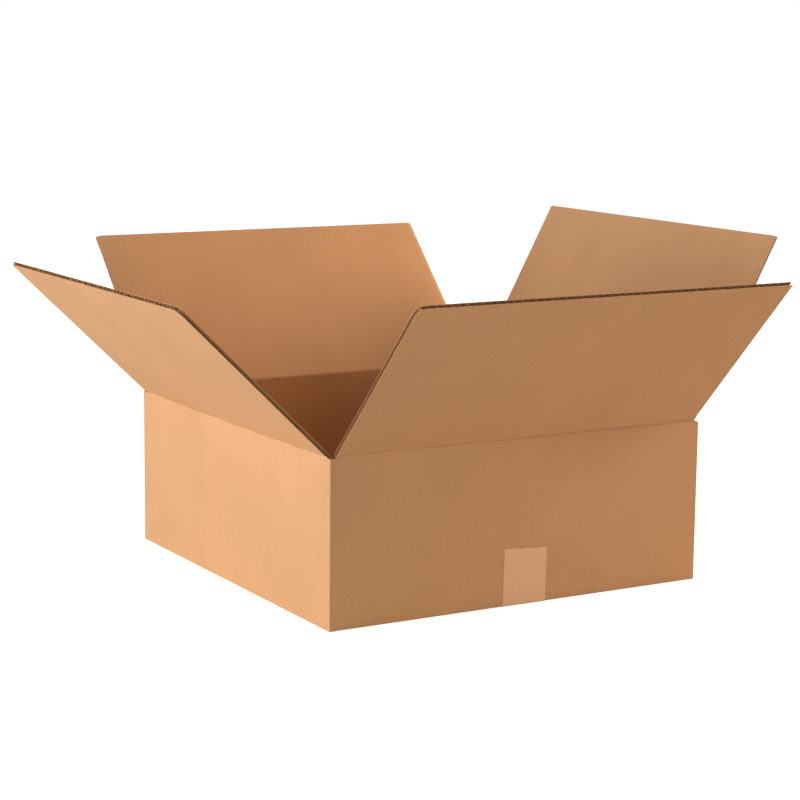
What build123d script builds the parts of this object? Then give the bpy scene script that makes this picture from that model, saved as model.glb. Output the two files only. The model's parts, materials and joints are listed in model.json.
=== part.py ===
from build123d import *
import os
from dataclasses import dataclass
from math import atan2, ceil, cos, radians, sin, tan

# An open slotted carton of single-wall corrugated board, taped shut below, with its four top
# flaps standing out. The origin is under the middle of the base, +X is to the right of the
# front wall, +Y runs to the back and +Z is up. Lengths are millimetres, angles are degrees.

# Room between the walls, and the panels' height from score to score
inside_width = 406.4
inside_depth = 406.4
panel_height = 160.4

# The board: two flat liners glued to a fluted medium
board = 4.0
liner = 0.35
medium = 0.3
flute_pitch = 7.8
flute_flat = 1.4

# Slots between neighbouring flaps, and the gaps where flaps meet or lie on each other
slot_width = 9.5
top_slot_drop = 2.5
bottom_slot_level = 0.4
seam_gap = 4.0
layer_gap = 0.3
flap_corner_radius = 2.0

# Folds of the walls and of the bottom flaps, outer and inner radius. The two inner bottom
# flaps fold as low as the outer ones, and rise from there over the outer ones' ends.
upright_fold = 2.0
upright_inner_fold = 0.5
base_fold = 1.5
inner_fold_level = 0.3

# Creases of the top flaps: how deep the crease line lies in the board, how far the board is
# crushed beside it, and the clearance that lets a flap swing from shut to hanging
crease_depth = 0.5
crushed_length = 6.5
solid_length = 9.0
crease_gap = 0.15
crease_side_gap = 0.3
flap_hang = 45.0
crease_spare_angle = 2.0

# How far each flap rises above level as the carton stands open
front_rise = 46.7
back_rise = 45.7
left_rise = 44.6
right_rise = 61.5

# The glued tab inside the back right corner
tab_width = 35.0
tab_board = 3.0
tab_set_in = 6.0
tab_taper = 9.0
tab_wall_gap = 1.5

# The tape along the bottom seam and up the front and back walls
tape_width = 48.0
tape_thickness = 0.25
tape_up = 55.0
tape_lean = 1.0
tape_offset = 3.8

# Cutting tools reach this far past what they cut
past = 2.0

outside_width = inside_width + 2 * board
outside_depth = inside_depth + 2 * board
flap_set_in = board / 2 + slot_width / 2
upper_crease = board / 2 + panel_height
lower_crease = upper_crease - board - layer_gap
top_slot_level = upper_crease - top_slot_drop
inner_level = board + layer_gap
floor_level = inner_level + board
tape_fold = base_fold + tape_thickness


@dataclass
class Side:
    name: str
    turn: float  # about +Z from the front wall
    to_face: float  # from the middle of the carton to the wall's outer face
    wall_length: float
    crease: float  # height of the top crease
    bottom_level: float  # underside of the bottom flap
    fold_level: float  # lowest line of the fold into the bottom flap
    rise: float  # of the open top flap above level

    @property
    def half_flap(self):
        return self.wall_length / 2 - flap_set_in

    @property
    def meeting_edge(self):
        return self.to_face - seam_gap / 2


half_width = outside_width / 2
half_depth = outside_depth / 2
sides = [
    Side("front", 0, half_depth, outside_width, upper_crease, inner_level, inner_fold_level, front_rise),
    Side("right", 90, half_width, outside_depth, lower_crease, 0.0, 0.0, right_rise),
    Side("back", 180, half_depth, outside_width, upper_crease, inner_level, inner_fold_level, back_rise),
    Side("left", 270, half_width, outside_depth, lower_crease, 0.0, 0.0, left_rise),
]

# In a side's own frame X runs along the wall, Y goes inwards from the wall's outer face and Z is up.


def on_side(side, shape):
    return Rot(0, 0, side.turn) * Pos(0, -side.to_face, 0) * shape


def across(side_profile, half_length):
    """A profile drawn in inward distance and height, drawn out along the wall both ways."""
    return extrude(Plane.YZ * side_profile, amount=half_length, both=True)


def box_between(x, y, z):
    return Pos((x[0] + x[1]) / 2, (y[0] + y[1]) / 2, (z[0] + z[1]) / 2) * Box(
        x[1] - x[0], y[1] - y[0], z[1] - z[0]
    )


def rectangle_between(x, y):
    return Pos((x[0] + x[1]) / 2, (y[0] + y[1]) / 2) * Rectangle(x[1] - x[0], y[1] - y[0])


def face_through(points):
    return make_face(Polyline(*points, close=True))


def round_at(sketch, point, radius):
    corner = sketch.vertices().sort_by_distance((point[0], point[1], 0))[0]
    return fillet(corner, radius)


def crushed_end():
    """The end of a board at a crease, as depth from the outer face and distance from the crease line."""
    widest_fold = radians((90 + flap_hang) / 2 + crease_spare_angle)
    outer_cut = crease_gap + crease_depth * tan(widest_fold)
    return [(0, outer_cut), (crease_depth, crease_gap), (board, crushed_length)]


def wall_plan():
    """The four walls from above, with the glued corner's cut edge and its folded-in neighbour."""
    plan = RectangleRounded(outside_width, outside_depth, upright_fold)
    plan -= RectangleRounded(inside_width, inside_depth, upright_inner_fold)
    fold_x = half_width - board
    cut_edge_y = half_depth - board - tab_wall_gap
    plan -= rectangle_between((fold_x, half_width + past), (cut_edge_y, half_depth + past))
    return round_at(plan, (fold_x, half_depth), board - upright_inner_fold / 2)


def glue_tab():
    """The tab folded in from the back wall and glued inside the right wall."""
    low = floor_level + tab_set_in
    high = lower_crease - tab_set_in
    root = half_depth - board
    tip = root - tab_width
    outline = face_through(
        [(root, low), (root, high), (tip, high - tab_taper), (tip, low + tab_taper)]
    )
    inner_face = half_width - board - tab_board
    return Pos(inner_face, 0, 0) * extrude(Plane.YZ * outline, amount=tab_board)


def air_over_crease(side):
    """What is missing above a wall's crushed top edge, between the slots."""
    wall_end = [(depth, side.crease - distance) for depth, distance in crushed_end()]
    top = side.crease + past
    outside = [(-past, top), (-past, wall_end[0][1])]
    inside = [(board + past, wall_end[-1][1]), (board + past, top)]
    return across(face_through(outside + wall_end + inside), side.half_flap + crease_side_gap)


def room_under_wall(side):
    """The wall ends here, between the slots, and its bottom flap's fold takes its place."""
    fold_top = side.fold_level + base_fold
    return box_between((-side.half_flap, side.half_flap), (-past, board + past), (-past, fold_top))


def bottom_flap(side):
    """A bottom flap with the fold that carries it, lying level under the carton."""
    fold, level, top = side.fold_level, side.bottom_level, side.bottom_level + board
    wall_top = level + max(base_fold, board) + past
    underside = [(0, wall_top), (0, fold), (base_fold + layer_gap, fold)]
    underside += [(flap_set_in - layer_gap, level), (side.meeting_edge, level)]
    inside = [(side.meeting_edge, top), (board, top), (board, wall_top)]
    profile = round_at(face_through(underside + inside), (0, fold), base_fold)
    return across(profile, side.half_flap)


def carton_body(tape):
    """The walls, the glued tab and the four bottom flaps: one sheet, folded and glued."""
    body = extrude(wall_plan(), amount=top_slot_level - bottom_slot_level)
    body = Pos(0, 0, bottom_slot_level) * body
    for side in sides:
        if side.crease > top_slot_level:
            reach = (-side.half_flap, side.half_flap)
            body += on_side(side, box_between(reach, (0, board), (top_slot_level, side.crease)))
    for side in sides:
        body -= on_side(side, air_over_crease(side))
        body -= on_side(side, room_under_wall(side))
    for side in sides:
        body += on_side(side, bottom_flap(side))
    body += glue_tab()
    return body - tape


def flute_openings(half_flap):
    """The open channels of the board's section, first on one side of the medium, then the other."""
    run = flute_pitch / 2 - flute_flat
    rise = board - 2 * liner - medium
    lean = run * medium / (2 * rise) - medium / (2 * sin(atan2(rise, run)))
    narrow = flute_flat / 2 + lean
    wide = flute_flat / 2 + run + lean
    low = crease_depth - board + liner
    high = crease_depth - liner
    under_crest = [(-wide, low), (wide, low), (narrow, low + rise), (-narrow, low + rise)]
    over_trough = [(-wide, high), (wide, high), (narrow, high - rise), (-narrow, high - rise)]
    shapes = [face_through(under_crest), face_through(over_trough)]
    last = ceil((half_flap + wide) / (flute_pitch / 2))
    return [Pos(step * flute_pitch / 2, 0) * shapes[step % 2] for step in range(-last, last + 1)]


def closed_flap(side):
    """A top flap as it lies shut: crease line on the X axis, free edge along +Y, outer face up."""
    length = side.meeting_edge - crease_depth
    half = side.half_flap
    faces = (crease_depth - board, crease_depth)
    section = rectangle_between((-half, half), faces) - flute_openings(half)
    free_edge = Plane(origin=(0, length, 0), x_dir=(1, 0, 0), z_dir=(0, -1, 0))
    fluted = extrude(free_edge * section, amount=length - solid_length)
    root_end = [(distance, crease_depth - depth) for depth, distance in crushed_end()]
    root_far = [(solid_length, faces[0]), (solid_length, faces[1])]
    flap = fluted + across(face_through(root_end + root_far), half)
    for end in (-1, 1):
        flap -= outside_corner(end * half, length)
    return flap


def outside_corner(x, y):
    """What rounding takes from a flap's free corner at (x, y)."""
    inward = -1 if x > 0 else 1
    radius = flap_corner_radius
    square = rectangle_between(
        sorted((x - inward * past, x + inward * radius)), (y - radius, y + past)
    )
    centre = Pos(x + inward * radius, y - radius)
    corner = square - centre * Circle(radius)
    return Pos(0, 0, crease_depth - board - past) * extrude(corner, amount=board + 2 * past)


def open_flap(side):
    shut = Pos(0, crease_depth, side.crease) * Rot(180 - side.rise, 0, 0) * closed_flap(side)
    return on_side(side, shut)


def seam_tape():
    """One strip that lies a little askew: up the front wall, under the seam and up the back wall."""
    outer = rectangle_between(
        (-half_depth - tape_thickness, half_depth + tape_thickness), (0, tape_up)
    )
    inner = rectangle_between((-half_depth, half_depth), (tape_thickness, tape_up + past))
    for end in (-1, 1):
        outer = round_at(outer, (end * (half_depth + tape_thickness), 0), tape_fold)
        inner = round_at(inner, (end * half_depth, tape_thickness), tape_fold - tape_thickness)
    sheet = across(outer - inner, half_width)

    drift = tan(radians(tape_lean))
    half = tape_width / 2 / cos(radians(tape_lean))
    flat_end = half_depth - tape_fold
    back_centre = tape_offset - drift * 2 * flat_end
    climb = drift * (tape_up - tape_fold)

    def upright_strip(centre, top_shift):
        low, turn, top = -past, tape_fold, tape_up
        left, right = centre - half, centre + half
        return face_through(
            [(left, low), (right, low), (right, turn), (right + top_shift, top),
             (left + top_shift, top), (left, turn)]
        )

    front = extrude(Plane.XZ * upright_strip(tape_offset, climb), amount=half_depth + past)
    front -= box_between((-half_width, half_width), (-flat_end, past), (-past, tape_up + past))
    back = extrude(Plane.XZ * upright_strip(back_centre, -climb), amount=-half_depth - past)
    back -= box_between((-half_width, half_width), (-past, flat_end), (-past, tape_up + past))
    under = face_through(
        [(tape_offset - half, -flat_end), (tape_offset + half, -flat_end),
         (back_centre + half, flat_end), (back_centre - half, flat_end)]
    )
    strip = front + back + Pos(0, 0, -past) * extrude(under, amount=tape_up)
    return sheet & strip


tape = seam_tape()
parts = {"carton_body": carton_body(tape), "seam_tape": tape}
for side in sides:
    parts[side.name + "_flap"] = open_flap(side)

os.makedirs("parts", exist_ok=True)
for name, shape in parts.items():
    shape.label = name
    export_step(shape, "parts/" + name + ".step")
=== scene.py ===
import json
import math

import bmesh
import bpy
from mathutils import Matrix, Vector, noise


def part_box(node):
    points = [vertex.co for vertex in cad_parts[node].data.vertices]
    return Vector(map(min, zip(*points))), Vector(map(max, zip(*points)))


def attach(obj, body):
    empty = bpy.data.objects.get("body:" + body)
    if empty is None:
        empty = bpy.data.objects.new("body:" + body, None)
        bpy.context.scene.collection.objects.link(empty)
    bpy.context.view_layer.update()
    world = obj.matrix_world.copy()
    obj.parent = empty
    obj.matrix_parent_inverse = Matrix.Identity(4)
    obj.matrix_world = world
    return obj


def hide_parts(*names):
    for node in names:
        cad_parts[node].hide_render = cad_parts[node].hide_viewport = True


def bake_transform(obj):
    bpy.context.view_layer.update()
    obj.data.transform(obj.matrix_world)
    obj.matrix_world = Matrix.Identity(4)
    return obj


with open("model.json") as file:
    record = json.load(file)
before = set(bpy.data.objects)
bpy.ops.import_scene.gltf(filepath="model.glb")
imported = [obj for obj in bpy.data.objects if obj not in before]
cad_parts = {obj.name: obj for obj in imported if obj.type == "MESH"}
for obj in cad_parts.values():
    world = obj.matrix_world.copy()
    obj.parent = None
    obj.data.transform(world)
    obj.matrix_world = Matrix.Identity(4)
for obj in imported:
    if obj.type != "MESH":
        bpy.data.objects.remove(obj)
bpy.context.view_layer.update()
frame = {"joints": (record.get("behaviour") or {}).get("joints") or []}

# The walls are one strip of corrugated board: two flat brown paper liners glued to a wavy one.
# The strip is creased at three corners, and at the fourth its end is glued over a tab. The
# flutes of the wavy paper stand upright in it, and run on into the flaps above and below.
MM = 0.001
BOARD = 4 * MM
LINER = 0.35 * MM
MEDIUM = 0.3 * MM
FLUTE = 7.8 * MM
WAVE = (BOARD - 2 * LINER - MEDIUM) / 2
LINER_COLUMN = 7 * MM
LINER_ROW = 9 * MM
MEDIUM_COLUMN = FLUTE / 10
MEDIUM_ROW = 40 * MM

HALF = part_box("carton_body")[1].x
FOLD = 2 * MM
INNER_FOLD = 0.5 * MM
STRAIGHT = HALF - FOLD
PANEL = 2 * HALF - FOLD
STRIP = ("back", "left", "front", "right")
HALF_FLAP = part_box("front_flap")[1].x

# The lines that the flaps turn on, and the creases, where the paper gives upwards from them
PIVOT = {joint["child"]: joint["pos_m"][2] for joint in frame["joints"]}
AXIS_DEPTH = HALF + frame["joints"][0]["pos_m"][1]
CREASE_GIVE = 2.6 * MM
CREASE = {side: min(level + CREASE_GIVE, max(PIVOT.values())) for side, level in PIVOT.items()}

# The slots between neighbouring flaps end this far under the higher creases, and above the floor
TOP_SLOT_DROP = 2.5 * MM
SLOT_TOP = max(CREASE.values()) - TOP_SLOT_DROP
SLOT_FOOT = 0.4 * MM
SLOT_RIM = 0.3 * MM

# A face of the flat sheet whose normal rises less than this is a cut edge, and stays sharp
CUT_FACE = 0.02

# How the walls bow outwards at mid length, and how the board dips beside an upright fold
BOW = {"front": 0.6 * MM, "right": 1.2 * MM, "back": -0.3 * MM, "left": 2.2 * MM}
DIP = 0.35 * MM
DIP_LENGTH = 15 * MM


def ply(u_span, v_span, cell, depth, thickness, wave=0.0, scores=((), ()), cut=None):
    """One paper of the flat sheet, u across the flutes and v along them.

    All of the wavy paper, and the liners' faces that are turned to it, get the second material:
    a darker brown, partly the wavy paper's own colour and partly painted shade in the hollows.
    """
    bm = bmesh.new()
    width = u_span[1] - u_span[0]
    length = v_span[1] - v_span[0]
    columns = math.ceil(width / cell[0])
    rows = math.ceil(length / cell[1])
    bmesh.ops.create_grid(bm, x_segments=columns, y_segments=rows, size=0.5)
    bmesh.ops.scale(bm, vec=(width, length, 1), verts=bm.verts)
    middle = (sum(u_span) / 2, sum(v_span) / 2, -depth)
    bmesh.ops.translate(bm, vec=middle, verts=bm.verts)
    for axis, places in enumerate(scores):
        normal = Vector((1 - axis, axis, 0))
        for place in places:
            whole = bm.verts[:] + bm.edges[:] + bm.faces[:]
            bmesh.ops.bisect_plane(
                bm, geom=whole, dist=1e-6, plane_co=normal * place, plane_no=normal
            )
    if cut:
        waste = [face for face in bm.faces if cut(*face.calc_center_median().xy)]
        bmesh.ops.delete(bm, geom=waste, context="FACES")
    if wave:
        for vert in bm.verts:
            vert.co.z += wave * math.sin(math.tau * vert.co.x / FLUTE)
    bmesh.ops.recalc_face_normals(bm, faces=bm.faces)
    if sum(face.normal.z for face in bm.faces) < 0:
        bmesh.ops.reverse_faces(bm, faces=bm.faces)
    bmesh.ops.solidify(bm, geom=bm.faces[:], thickness=thickness)
    to_flutes = 1 if depth > BOARD / 2 else -1
    for face in bm.faces:
        if wave or face.normal.z * to_flutes > 0.5:
            face.material_index = 1
    return bm


def board(u_span, v_span, scores=((), ()), cut=None):
    """The three papers of the board, lying flat."""
    liner_cell = (LINER_COLUMN, LINER_ROW)
    medium_cell = (MEDIUM_COLUMN, MEDIUM_ROW)
    wave_depth = (BOARD - MEDIUM) / 2
    return [
        ply(u_span, v_span, liner_cell, 0, LINER, 0, scores, cut),
        ply(u_span, v_span, medium_cell, wave_depth, MEDIUM, WAVE, scores, cut),
        ply(u_span, v_span, liner_cell, BOARD - LINER, LINER, 0, scores, cut),
    ]


def made_up(name, plies, place, papers):
    """Folds flat plies to where the real sheet goes, as one piece in the given papers."""
    mesh = bpy.data.meshes.new(name)
    whole = bmesh.new()
    for flat in plies:
        flat.to_mesh(mesh)
        flat.free()
        whole.from_mesh(mesh)
    for edge in whole.edges:
        cut_faces = [abs(face.normal.z) < CUT_FACE for face in edge.link_faces]
        edge.smooth = all(cut_faces) or not any(cut_faces)
    sheet = whole.loops.layers.uv.new("sheet")
    for face in whole.faces:
        face.smooth = abs(face.normal.z) > CUT_FACE
        face.material_index = min(face.material_index, len(papers) - 1)
        for loop in face.loops:
            loop[sheet].uv = loop.vert.co.xy
    for vert in whole.verts:
        vert.co = place(vert.co.x, vert.co.y, -vert.co.z)
    mesh.clear_geometry()
    whole.to_mesh(mesh)
    whole.free()
    piece = bpy.data.objects.new(name, mesh)
    bpy.context.scene.collection.objects.link(piece)
    for paper in papers:
        mesh.materials.append(paper)
    return piece


def smooth_step(share):
    """0 to 1, with a soft start and a soft end."""
    share = min(max(share, 0), 1)
    return share * share * (3 - 2 * share)


def outwards(side, t, height):
    """How far the wall stands outwards of its true plane, t from its middle."""
    bow = BOW[side] * math.cos(min(abs(t) / (PANEL / 2), 1) * math.pi / 2)
    dip = smooth_step((abs(t) - STRAIGHT + DIP_LENGTH) / DIP_LENGTH)
    dip *= min((PANEL / 2 - abs(t)) / (PANEL / 2 - STRAIGHT), 1)
    return bow * smooth_step(height / CREASE[side]) - DIP * dip


def middle_of(side):
    """Where the middle of a wall is along the strip."""
    return (STRIP.index(side) + 0.5) * PANEL


def turn_to(side):
    """The turn that takes what is laid out at the front wall round to another wall."""
    return Matrix.Rotation(math.radians(180 + 90 * STRIP.index(side)), 3, "Z")


def face_in_plan(t, straight, radius):
    """A point of a wall's outer or inner face from above, turning into the next wall's face."""
    past_straight = abs(t) - STRAIGHT
    if past_straight <= 0:
        return Vector((t * straight / STRAIGHT, straight + radius))
    angle = past_straight / (PANEL / 2 - STRAIGHT) * math.pi / 4
    around = math.copysign(straight + radius * math.sin(angle), t)
    return Vector((around, straight + radius * math.cos(angle)))


# The tab that carries on from the back wall, folded in and pressed thinner. It stands on the
# inner bottom flaps, and its fold stays lower than the shut flaps' undersides.
LAYER_GAP = 0.3 * MM
TAB_BOARD = 3 * MM
TAB_INNER_FOLD = 0.5 * MM
TAB_FOLD = TAB_BOARD + TAB_INNER_FOLD
TAB_FOLD_LENGTH = 4 * MM
TAB_WIDTH = 35 * MM
TAB_TAPER = 9 * MM
TAB_SET_IN = 6 * MM
TAB_FOLD_DROP = 0.5 * MM
TAB_WALL_GAP = 1.5 * MM
tab_turn = HALF - BOARD - TAB_FOLD
tab_from = PANEL / 2 - tab_turn
tab_to = tab_from - TAB_FOLD_LENGTH
tab_end = tab_to - (TAB_WIDTH - BOARD + TAB_FOLD)
tab_low = 2 * BOARD + LAYER_GAP + TAB_SET_IN
tab_high = min(PIVOT.values()) - TAB_SET_IN
tab_fold_top = min(PIVOT.values()) - TAB_FOLD_DROP
strip_end = middle_of("right") + HALF - BOARD - TAB_WALL_GAP


def tab_in_plan(beyond, face, radius):
    """A point of the tab's outer or inner face from above, beyond the start of its fold."""
    angle = min(beyond / TAB_FOLD_LENGTH, 1) * math.pi / 2
    past_fold = max(beyond - TAB_FOLD_LENGTH, 0)
    across = -tab_turn - radius * math.sin(angle)
    return Vector((across, face - radius + radius * math.cos(angle) - past_fold))


def wall_at(u):
    """The wall that a place along the strip is in, and how far it is from that wall's middle."""
    side = STRIP[min(max(int(u // PANEL), 0), 3)]
    return side, u - middle_of(side)


def stand_up(u, v, depth):
    """Folds the flat strip round the four corners."""
    side, t = wall_at(u)
    if u < tab_from:
        taper = TAB_TAPER * max(tab_to - u, 0) / (tab_to - tab_end)
        middle = (tab_low + tab_high) / 2
        v = middle + (v - middle) * (1 - 2 * taper / (tab_high - tab_low))
        outer = tab_in_plan(tab_from - u, HALF, TAB_FOLD)
        inner = tab_in_plan(tab_from - u, HALF - BOARD, TAB_INNER_FOLD)
    else:
        outer = face_in_plan(t, STRAIGHT, FOLD)
        inner = face_in_plan(t, HALF - BOARD - INNER_FOLD, INNER_FOLD)
    flat = outer.lerp(inner, depth / BOARD)
    flat.y += outwards(side, t, v)
    return turn_to(side) @ Vector((flat.x, -flat.y, v))


# The walls' lower folds. The outer bottom flaps, left and right, lie on the floor, and the two
# inner ones fold almost as low and rise from there over the outer ones' ends.
INNER_LEVEL = BOARD + LAYER_GAP
BOTTOM_LEVEL = {"left": 0, "right": 0, "front": INNER_LEVEL, "back": INNER_LEVEL}
FOLD_LEVEL = {"left": 0, "right": 0, "front": LAYER_GAP, "back": LAYER_GAP}
BASE_FOLD = 1.5 * MM
INNER_BASE_FOLD = 0.6 * MM
FOLD_REACH = BOARD + INNER_BASE_FOLD

# The walls end this far below their top creases, and the flaps start as far beyond them
CREASE_STRIP = 4.3 * MM


def slots(u, v):
    """What is cut from the strip: the slots, the panels' ends and the room beside the tab."""
    side, t = wall_at(u)
    if u < tab_to:
        return not tab_low < v < tab_high
    if abs(t) > HALF_FLAP:
        return u < tab_from and v > tab_fold_top
    return not BOTTOM_LEVEL[side] + FOLD_REACH < v < CREASE[side] - CREASE_STRIP


u_scores = [tab_from - TAB_FOLD_LENGTH * share / 4 for share in range(5)]
v_scores = [tab_low, tab_high, tab_fold_top]
for side in STRIP:
    for end in (-1, 1):
        middle = middle_of(side)
        u_scores += [middle + end * HALF_FLAP, middle + end * (HALF_FLAP + SLOT_RIM)]
        u_scores += [middle + end * (STRAIGHT + share * FOLD / 8) for share in range(5)]
    v_scores += [BOTTOM_LEVEL[side] + FOLD_REACH, CREASE[side] - CREASE_STRIP]
inside_strip = [u for u in u_scores if tab_end < u < strip_end]


def shade(tree, kind, inputs=None, **settings):
    """A shader node with its settings, and its inputs set or linked."""
    node = tree.nodes.new(kind)
    for name, value in settings.items():
        setattr(node, name, value)
    for name, value in (inputs or {}).items():
        if isinstance(value, bpy.types.NodeSocket):
            tree.links.new(value, node.inputs[name])
        else:
            node.inputs[name].default_value = value
    return node


def mixed(tree, operation, first, second):
    """What a maths node makes of two values."""
    return shade(tree, "ShaderNodeMath", {0: first, 1: second}, operation=operation).outputs[0]


# The paper's patterns: how many go to the metre, across the flutes and along them, how much each
# lightens or darkens the brown, how large and rare the specks are, and how high the relief is
CLOUDS = (14, 9, 1)
FORMATION = (190, 230, 1)
FIBRES = (260, 1500, 1)
SPECKS = 210
CLOUD_TONE = 0.16
FORMATION_TONE = 0.10
FIBRE_TONE = 0.16
SPECK_TONE = -0.13
SPECK_SIZE = 0.16
SPECK_RARITY = 0.86
RELIEF = 0.05 * MM
RIDGE_RELIEF = 1.5 * MM


def kraft_paper(name, colour, washboard, mottle=1.0):
    """Brown paper: cloudy, with fibres along u, specks, and faint lines where the flutes show."""
    material = bpy.data.materials.new(name)
    material.use_nodes = True
    tree = material.node_tree
    shader = tree.nodes["Principled BSDF"]
    sheet = shade(tree, "ShaderNodeUVMap", uv_map="sheet").outputs[0]

    def grain(scale, detail, roughness=0.5):
        placed = shade(tree, "ShaderNodeMapping", {"Vector": sheet, "Scale": scale})
        fine = {"Vector": placed.outputs[0], "Scale": 1, "Detail": detail, "Roughness": roughness}
        level = shade(tree, "ShaderNodeTexNoise", fine).outputs["Fac"]
        return mixed(tree, "SUBTRACT", level, 0.5)

    clouds = grain(CLOUDS, 2)
    formation = grain(FORMATION, 3, 0.6)
    fibres = grain(FIBRES, 4, 0.65)
    cells = shade(tree, "ShaderNodeTexVoronoi", {"Vector": sheet, "Scale": SPECKS})
    dark = mixed(tree, "LESS_THAN", cells.outputs["Distance"], SPECK_SIZE)
    draw = shade(tree, "ShaderNodeSeparateColor", {"Color": cells.outputs["Color"]}).outputs[0]
    specks = mixed(tree, "MULTIPLY", dark, mixed(tree, "GREATER_THAN", draw, SPECK_RARITY))
    across = shade(tree, "ShaderNodeSeparateXYZ", {"Vector": sheet}).outputs[0]
    lines = mixed(tree, "COSINE", mixed(tree, "MULTIPLY", across, math.tau / FLUTE), 0)

    light = 1.0
    layers = (
        (clouds, CLOUD_TONE * mottle),
        (formation, FORMATION_TONE * mottle),
        (fibres, FIBRE_TONE),
        (specks, SPECK_TONE),
        (lines, washboard),
    )
    for layer, strength in layers:
        light = mixed(tree, "ADD", mixed(tree, "MULTIPLY", layer, strength), light)
    tint = shade(tree, "ShaderNodeVectorMath", {0: colour, "Scale": light}, operation="SCALE")
    tree.links.new(tint.outputs[0], shader.inputs["Base Color"])

    relief = mixed(tree, "MULTIPLY", fibres, RELIEF)
    relief = mixed(tree, "ADD", relief, mixed(tree, "MULTIPLY", formation, RELIEF))
    ridges = mixed(tree, "MULTIPLY", lines, washboard * RIDGE_RELIEF)
    relief = mixed(tree, "ADD", relief, ridges)
    bump = shade(tree, "ShaderNodeBump", {"Height": relief, "Strength": 1, "Distance": 1})
    tree.links.new(bump.outputs[0], shader.inputs["Normal"])
    shader.inputs["Roughness"].default_value = 0.86
    shader.inputs["Specular IOR Level"].default_value = 0.25
    return material


LINER_BROWN = (0.607, 0.334, 0.151)
# The second brown is darker partly as the wavy paper's own colour, partly as painted shade for the
# hollows between the liners at the cut edges
MEDIUM_BROWN_AND_HOLLOW_SHADE = (0.36, 0.185, 0.078)
WASHBOARD = 0.005
board_papers = (
    kraft_paper("kraft_liner", LINER_BROWN, WASHBOARD),
    kraft_paper("kraft_medium", MEDIUM_BROWN_AND_HOLLOW_SHADE, 0.0),
)
walls = made_up(
    "carton_walls",
    board((tab_end, strip_end), (SLOT_FOOT, SLOT_TOP), (inside_strip, v_scores), slots),
    stand_up,
    board_papers,
)
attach(walls, "carton")
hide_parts("carton_body")

# The bottom flaps are the strip's lower ends, folded in to lie level. The left and right ones
# are outermost and meet along the middle, and the front and back ones lie inside on them.
SEAM = 4 * MM
TAPE = 0.25 * MM
PRESSED_BY_TAPE = 1.2 * TAPE
PRESSED_LENGTH = 40 * MM
RAMP_END = HALF - HALF_FLAP - LAYER_GAP
fold_arc = BASE_FOLD * math.pi / 2
flap_run = HALF - SEAM / 2 - FOLD_REACH


def fold_under(side):
    """Carries a wall's lower end round its fold and inwards, v measured down from the wall."""
    level = BOTTOM_LEVEL[side]
    lowest = FOLD_LEVEL[side]
    middle = middle_of(side)
    turn = turn_to(side)
    drop = level + FOLD_REACH - lowest - BASE_FOLD
    fold_paper = drop + fold_arc + FOLD_REACH - BASE_FOLD

    def underside(gone):
        if gone < drop:
            return Vector((0, level + FOLD_REACH - gone))
        angle = min((gone - drop) / fold_arc, 1) * math.pi / 2
        inward = BASE_FOLD * (1 - math.cos(angle)) + max(gone - drop - fold_arc, 0)
        rise = (level - lowest) * smooth_step((inward - BASE_FOLD) / (RAMP_END - BASE_FOLD))
        return Vector((inward, lowest + rise + BASE_FOLD * (1 - math.sin(angle))))

    def place(u, v, depth):
        gone = -v
        angle = min(gone / fold_paper, 1) * math.pi / 2
        run = max(gone - fold_paper, 0)
        inside = Vector(
            (FOLD_REACH - INNER_BASE_FOLD * math.cos(angle) + run,
             level + FOLD_REACH - INNER_BASE_FOLD * math.sin(angle))
        )
        inward, up = underside(gone).lerp(inside, depth / BOARD)
        pressed = smooth_step((run - flap_run + PRESSED_LENGTH) / PRESSED_LENGTH)
        if level == 0:
            up += PRESSED_BY_TAPE * pressed * (1 - depth / BOARD)
        side_out = outwards(side, u - middle, up)
        return turn @ Vector((u - middle, -HALF - side_out + inward, up))

    return place, drop, fold_paper


for side in STRIP:
    u_span = (middle_of(side) - HALF_FLAP, middle_of(side) + HALF_FLAP)
    place, drop, fold_paper = fold_under(side)
    v_span = (-fold_paper - flap_run, 0)
    base_scores = [-drop - fold_arc * share / 4 for share in range(5)]
    base_scores += [-fold_paper - step * MM for step in range(3)]
    flap = made_up(
        f"bottom_flap_{side}", board(u_span, v_span, ((), base_scores)), place, board_papers
    )
    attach(flap, "carton")
    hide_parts("carton_body")

# The top flaps go on from the walls above their creases. Their free edges show the wavy paper.
# At the sides the slots' cuts tore it back between the liners, or pressed the board's edge thin.
FLAP_LENGTH = HALF - SEAM / 2 - AXIS_DEPTH
OUTER_SCORE = 0.85 * MM
INNER_SCORE = -0.2 * MM
SCORE_WIDTH = 0.8 * MM
LEAN = {
    joint["child"]: math.radians(joint["range_deg"][1] - 90) for joint in frame["joints"]
}
CORNER = {
    "front": (9 * MM, 0.6 * MM),
    "right": (1.5 * MM, 1.5 * MM),
    "back": (2 * MM, 2 * MM),
    "left": (0.6 * MM, 10 * MM),
}
STRAY = 0.8 * MM
STRAY_LENGTH = 22 * MM

# The free edges' wear, and the side edges: where the wavy paper is pulled back or torn, how much
# of that each flap's first and last side has, and where and how much the board is pressed thin
WORN_BACK = 1.2 * MM
WEAR = 9 * MM
FINE_WEAR = 2.5 * MM
TEAR = 4 * MM
FINE_TEAR = 1.7 * MM
SIDE_STRIP = 5 * MM
SIDE_ROW = 1.6 * MM
PULLED_BACK = 1.8 * MM
WAVE_LOSS = 1.2 * MM
LINER_REACH = 2 * MM
LINER_LOSS = {0: 0.8 * MM, BOARD - LINER: 1.0 * MM}
TORN = {"front": (1, 0.2), "left": (0.2, 1), "back": (0.2, 0.2), "right": (0.2, 0.2)}
PRESSED_SIDES = ("back", "right")
PRESSED_SIDE = 6 * MM
PRESSED_RUN = 20 * MM
PRESSED_SHARE = 0.7


def wobble(side, u):
    """The crease isn't ruled straight: how far it strays along the flap."""
    return STRAY * noise.noise(Vector((u / STRAY_LENGTH, STRIP.index(side), 0.5)))


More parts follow.
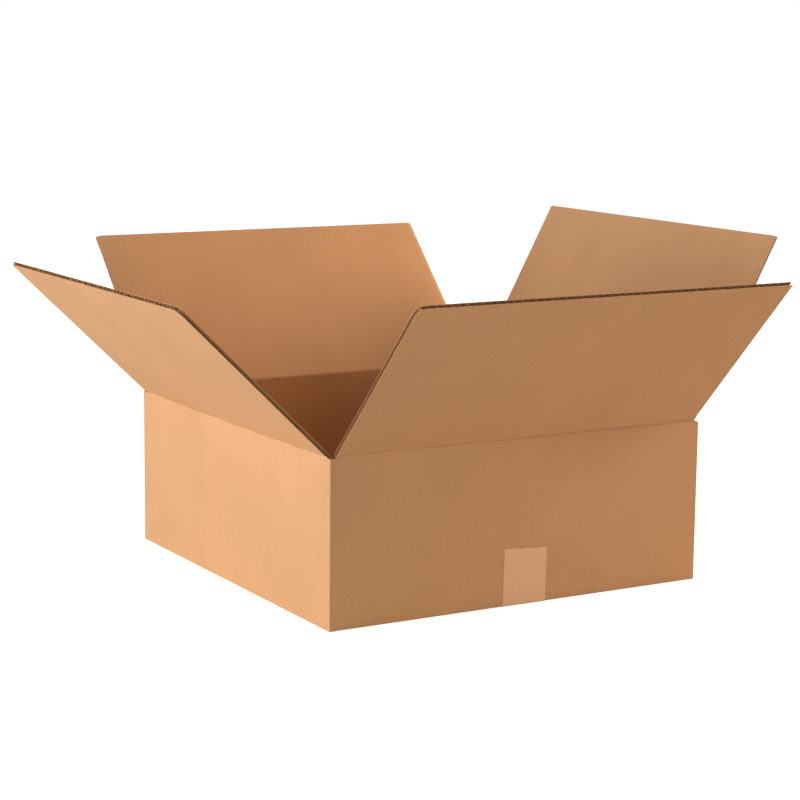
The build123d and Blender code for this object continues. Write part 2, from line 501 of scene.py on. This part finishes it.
def open_out(side):
    """Turns a flap outwards about its crease, v measured in the flat sheet from the base."""
    middle = middle_of(side)
    turn = turn_to(side)
    crease = CREASE[side]
    lean = LEAN[side]

    def place(u, v, depth):
        along = v - crease
        near_crease = 1 - max(along, 0) / FLAP_LENGTH
        stray = wobble(side, u) if depth < BOARD / 2 else 0
        score = OUTER_SCORE if depth < BOARD / 2 else INNER_SCORE
        depth += score * math.exp(-(((along - stray) / SCORE_WIDTH) ** 2))
        over = depth - AXIS_DEPTH
        fold = Vector((depth, over * math.tan(lean / 2) + stray))
        if along < 0:
            inward, up = Vector((depth, -CREASE_STRIP)).lerp(fold, 1 + along / CREASE_STRIP)
        else:
            reach = max(along, CREASE_STRIP)
            inward = AXIS_DEPTH - reach * math.sin(lean) + over * math.cos(lean)
            up = reach * math.cos(lean) + over * math.sin(lean)
            inward, up = fold.lerp(Vector((inward, up)), min(along / CREASE_STRIP, 1))
        up += PIVOT[side] + (crease - PIVOT[side]) * near_crease
        inward -= outwards(side, u - middle, min(v, crease)) * near_crease
        return turn @ Vector((u - middle, inward - HALF, up))

    return place


def rounded(bm, u_span, radii, top):
    """Draws the corners of a flap's free edge back to arcs."""
    for vert in bm.verts:
        for edge, radius, sign in ((u_span[0], radii[0], 1), (u_span[1], radii[1], -1)):
            past_corner = radius - sign * (vert.co.x - edge)
            if 0 < past_corner and vert.co.y > top - radius:
                shortened = radius - math.sqrt(max(radius**2 - min(past_corner, radius)**2, 0))
                share = (vert.co.y - top + radius) / radius
                vert.co.y -= shortened * share


def frayed(bm, u_span, reach, amounts, seed):
    """Tears the side edges of a ply a little, in and out."""
    for vert in bm.verts:
        for edge, sign, amount in ((u_span[0], 1, amounts[0]), (u_span[1], -1, amounts[1])):
            near = 1 - sign * (vert.co.x - edge) / reach
            if near > 0:
                rough = noise.noise(Vector((vert.co.y / TEAR, seed, edge)))
                rough += 0.6 * noise.noise(Vector((vert.co.y / FINE_TEAR, seed, edge)))
                vert.co.x += sign * near * amount * max(rough + 0.25, 0)
    return bm


def ragged(bm, top):
    """Wears the free edge of a ply back unevenly."""
    for vert in bm.verts:
        if vert.co.y > top - 0.01 * MM:
            rough = noise.noise(Vector((vert.co.x / WEAR, 2.5, 0.4)))
            rough += 0.7 * noise.noise(Vector((vert.co.x / FINE_WEAR, 2.5, 0.4)))
            vert.co.y -= WORN_BACK * max(rough + 0.4, 0)
    return bm


def pressed_thin(bm, u_span, root):
    """Presses the board's side edges together, more and more from the flap's root on."""
    for vert in bm.verts:
        from_side = min(vert.co.x - u_span[0], u_span[1] - vert.co.x)
        near = smooth_step(1 - from_side / PRESSED_SIDE)
        near *= smooth_step((vert.co.y - root) / PRESSED_RUN)
        vert.co.z += (-BOARD / 2 - vert.co.z) * PRESSED_SHARE * near


for side in STRIP:
    u_span = (middle_of(side) - HALF_FLAP, middle_of(side) + HALF_FLAP)
    v_span = (CREASE[side] + CREASE_STRIP, CREASE[side] + FLAP_LENGTH)
    torn = Vector(TORN[side])
    wave_span = (u_span[0] + PULLED_BACK * torn[0], u_span[1] - PULLED_BACK * torn[1])
    inner_span = (u_span[0] + SIDE_STRIP, u_span[1] - SIDE_STRIP)
    arcs = [u_span[0] + CORNER[side][0] * step / 6 for step in range(1, 7)]
    arcs += [u_span[1] - CORNER[side][1] * step / 6 for step in range(1, 7)]
    arcs += [u_span[0] + PRESSED_SIDE * step / 3 for step in range(1, 4)]
    arcs += [u_span[1] - PRESSED_SIDE * step / 3 for step in range(1, 4)]
    v_scores = [v_span[1] - max(CORNER[side])]
    scores = (arcs, v_scores)
    plies = []
    for depth, loss in LINER_LOSS.items():
        liner = ply(u_span, v_span, (LINER_COLUMN, SIDE_ROW), depth, LINER, 0, scores)
        plies.append(frayed(liner, u_span, LINER_REACH, loss * torn, loss / MM))
    wave_depth = (BOARD - MEDIUM) / 2
    for span, row, seed in (
        ((wave_span[0], inner_span[0]), SIDE_ROW, 5.2),
        (inner_span, MEDIUM_ROW, 0),
        ((inner_span[1], wave_span[1]), SIDE_ROW, 6.2),
    ):
        waves = ply(span, v_span, (MEDIUM_COLUMN, row), wave_depth, MEDIUM, WAVE, ((), v_scores))
        if seed:
            frayed(waves, wave_span, span[1] - span[0], WAVE_LOSS * torn, seed)
        plies.append(ragged(waves, v_span[1]))
    for sheet in plies:
        rounded(sheet, u_span, CORNER[side], v_span[1])
        if side in PRESSED_SIDES:
            pressed_thin(sheet, u_span, v_span[0])
    flap = made_up(f"top_flap_{side}", plies, open_out(side), board_papers)
    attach(flap, side)
    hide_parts(f"{side}_flap")

# The creases join the walls to the top flaps. Each is the same three papers, crushed along one
# line by a creasing wheel, and bent there to the flap's lean.
CREASE_ROW = 0.4 * MM
liner_cell = (LINER_COLUMN / 2, CREASE_ROW)
wave_cell = (MEDIUM_COLUMN, 3 * CREASE_ROW)
for side in STRIP:
    u_span = (middle_of(side) - HALF_FLAP, middle_of(side) + HALF_FLAP)
    v_span = (CREASE[side] - CREASE_STRIP, CREASE[side] + CREASE_STRIP)
    fold_line = ((), [CREASE[side]])
    plies = [ply(u_span, v_span, liner_cell, depth, LINER) for depth in (0, BOARD - LINER)]
    plies.append(ply(u_span, v_span, wave_cell, (BOARD - MEDIUM) / 2, MEDIUM, WAVE, fold_line))
    crease = made_up(f"crease_{side}", plies, open_out(side), board_papers)
    out = turn_to(side) @ Vector((0, -1, 0))
    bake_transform(crease)

# The tape is one strip of brown paper tape, gummed along the seam of the bottom flaps and up
# the front and back walls. It was torn off unevenly, and it was stuck on a little askew.
TAPE_WIDTH = 48 * MM
TAPE_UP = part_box("seam_tape")[1].z
TAPE_FOLD = BASE_FOLD + TAPE
TAPE_LEAN = math.radians(1.0)
TAPE_OFFSET = 3.8 * MM
TAPE_PROUD = 0.04 * MM
arc = TAPE_FOLD * math.pi / 2
climb = TAPE_UP - TAPE_FOLD
floor_start = climb + arc
floor_end = floor_start + 2 * (HALF - TAPE_FOLD)
tape_length = floor_end + arc + climb


def stick_down(u, v, depth):
    """Carries the strip down the front wall, under the seam and up the back wall."""
    drift = math.tan(TAPE_LEAN)
    outside = TAPE_PROUD + TAPE - depth
    across = TAPE_OFFSET + u + drift * (climb - min(v, climb))
    across -= drift * max(min(v, floor_end) - floor_start, 0)
    across -= drift * max(v - floor_end - arc, 0)
    if v <= climb:
        height = TAPE_UP - v
        out = outwards("front", across, height)
        return Vector((across, -HALF - out - outside, height))
    if v < floor_start:
        angle = (v - climb) / arc * math.pi / 2
        reach = TAPE_FOLD - TAPE + outside
        return Vector(
            (across, -HALF + TAPE_FOLD - TAPE - reach * math.cos(angle),
             TAPE_FOLD - reach * math.sin(angle))
        )
    if v <= floor_end:
        return Vector((across, v - floor_start - HALF + TAPE_FOLD, TAPE - outside + TAPE_PROUD))
    if v < floor_end + arc:
        angle = (v - floor_end) / arc * math.pi / 2
        reach = TAPE_FOLD - TAPE + outside
        return Vector(
            (across, HALF - TAPE_FOLD + TAPE + reach * math.sin(angle),
             TAPE_FOLD - reach * math.cos(angle))
        )
    height = TAPE_FOLD + v - floor_end - arc
    return Vector((across, HALF + outwards("back", -across, height) + outside, height))


TORN_LENGTH = 6 * MM
TORN_STEPS = ((-10 * MM, 1.4 * MM), (5 * MM, 1.0 * MM))
STEP_WIDTH = 1.5 * MM
TORN_ROUGH = 0.3 * MM


def torn_end(bm):
    """The top edge steps down to the right, twice, and is a little rough."""
    for vert in bm.verts:
        near_top = smooth_step(1 - vert.co.y / TORN_LENGTH)
        lower = TORN_ROUGH * noise.noise(Vector((vert.co.x / STEP_WIDTH, 0.3, 0.7)))
        for place, step in TORN_STEPS:
            lower += step * (smooth_step((vert.co.x - place) / STEP_WIDTH) - 0.5)
        vert.co.y += near_top * lower
    return bm


TAPE_BROWN = (0.82, 0.50, 0.27)
tape_cell = (1.5 * MM, 4 * MM)
tape_scores = [climb + arc * step / 6 for step in range(7)]
tape_scores += [floor_end + arc * step / 6 for step in range(7)]
tape_scores += [row * MM for row in range(1, 4)]
tape_ply = ply(
    (-TAPE_WIDTH / 2, TAPE_WIDTH / 2), (0, tape_length), tape_cell, 0, TAPE, 0, ((), tape_scores)
)
tape_paper = kraft_paper("kraft_tape", TAPE_BROWN, 0.0, mottle=0.4)
tape = made_up("bottom_tape", [torn_end(tape_ply)], stick_down, (tape_paper,))
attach(tape, "carton")
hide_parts("seam_tape")

# The stage is a matt floor that runs off past the view. It shows white by a glow that only
# the camera sees, a little weaker near the carton, so that the carton's shadow shows there.
FLOOR_REACH = 30
FLOOR_GREY = 0.72
GLOW_NEAR = 0.72
GLOW_FROM = 0.3
GLOW_TO = 3.0
bm = bmesh.new()
bmesh.ops.create_grid(bm, x_segments=1, y_segments=1, size=FLOOR_REACH)
floor_mesh = bpy.data.meshes.new("floor")
bm.to_mesh(floor_mesh)
bm.free()
floor = bpy.data.objects.new("floor", floor_mesh)
bpy.context.scene.collection.objects.link(floor)


def seen_rays(tree):
    """1 on the rays that the camera sees straight, in a gloss or through glass, and 0 on others."""
    path = shade(tree, "ShaderNodeLightPath")
    seen = mixed(tree, "MAXIMUM", path.outputs["Is Camera Ray"], path.outputs["Is Glossy Ray"])
    return mixed(tree, "MAXIMUM", seen, path.outputs["Is Transmission Ray"])


white = bpy.data.materials.new("white_floor")
white.use_nodes = True
tree = white.node_tree
tree.nodes.remove(tree.nodes["Principled BSDF"])
spot = shade(tree, "ShaderNodeTexCoord").outputs["Object"]
distance = shade(tree, "ShaderNodeVectorMath", {0: spot}, operation="LENGTH").outputs["Value"]
far_span = {"From Min": GLOW_FROM, "From Max": GLOW_TO, "To Min": GLOW_NEAR, "To Max": 1}
far = shade(
    tree,
    "ShaderNodeMapRange",
    {"Value": distance, **far_span},
    interpolation_type="SMOOTHSTEP",
).outputs[0]
matte = shade(tree, "ShaderNodeBsdfDiffuse", {"Color": (FLOOR_GREY, FLOOR_GREY, FLOOR_GREY, 1)})
strength = mixed(tree, "MULTIPLY", seen_rays(tree), far)
glow = shade(tree, "ShaderNodeEmission", {"Color": (1, 1, 1, 1), "Strength": strength})
both = shade(tree, "ShaderNodeAddShader", {0: matte.outputs[0], 1: glow.outputs[0]})
tree.links.new(both.outputs[0], tree.nodes["Material Output"].inputs["Surface"])
floor_mesh.materials.append(white)

# The light is large and soft. The strongest comes low from the left, and softer, warmer light
# from the right. The room's own light is weak, and only the camera sees the room as white.
AMBIENT = 0.03
world = bpy.data.worlds.new("studio")
bpy.context.scene.world = world
world.use_nodes = True
tree = world.node_tree
bright = mixed(tree, "ADD", mixed(tree, "MULTIPLY", seen_rays(tree), 1 - AMBIENT), AMBIENT)
sky = tree.nodes["Background"]
sky.inputs["Color"].default_value = (1, 1, 1, 1)
tree.links.new(bright, sky.inputs["Strength"])


LOOK_AT = Vector((0, 0, 0.15))


def soft_light(name, place, size, power, tint=(1, 1, 1)):
    """A square soft light that looks at the carton."""
    lamp = bpy.data.lights.new(name, "AREA")
    lamp.shape = "SQUARE"
    lamp.size = size
    lamp.energy = power
    lamp.color = tint
    light = bpy.data.objects.new(name, lamp)
    light.location = place
    light.visible_camera = False
    aim = LOOK_AT - Vector(place)
    light.rotation_mode = "QUATERNION"
    light.rotation_quaternion = aim.to_track_quat("-Z", "Y")
    bpy.context.scene.collection.objects.link(light)


COOL = (0.90, 0.91, 1.0)
WARM = (1.0, 0.78, 0.66)
soft_light("key_left", (-2.6, 0.4, 0.7), 1.5, 51, COOL)
soft_light("left_back", (-2.4, 1.2, 0.4), 0.7, 17, COOL)
soft_light("left_front", (-2.0, -2.0, 0.45), 1.0, 27)
soft_light("high_right", (1.8, 0.15, 1.54), 0.9, 31, WARM)
soft_light("right_front", (2.2, -1.0, 1.3), 0.9, 34, WARM)
soft_light("high_front_right", (1.7, -1.7, 3.0), 0.8, 9, COOL)
soft_light("back", (0.6, 3.0, 0.5), 1.2, 8)

# The camera stands a little above the carton, before its front left corner, and looks down on
# it with a long lens. It is turned by less than a degree about its own line of sight.
LENS = 98.5
SENSOR = 36
STAND = (-1.1221, -1.8951, 0.5451)
YAW = math.radians(30.31)
PITCH = math.radians(9.77)
ROLL = math.radians(0.59)
forward = Vector(
    (math.sin(YAW) * math.cos(PITCH), math.cos(YAW) * math.cos(PITCH), -math.sin(PITCH))
)
level_right = Vector((math.cos(YAW), -math.sin(YAW), 0))
level_up = level_right.cross(forward)
right = level_right * math.cos(ROLL) + level_up * math.sin(ROLL)
up = level_up * math.cos(ROLL) - level_right * math.sin(ROLL)
camera_data = bpy.data.cameras.new("camera")
camera_data.sensor_width = SENSOR
camera_data.lens = LENS
camera = bpy.data.objects.new("camera", camera_data)
facing = Matrix((right, up, -forward)).transposed().to_4x4()
camera.matrix_world = Matrix.Translation(STAND) @ facing
bpy.context.scene.collection.objects.link(camera)
bpy.context.scene.camera = camera
bpy.context.scene.view_settings.view_transform = "Standard"
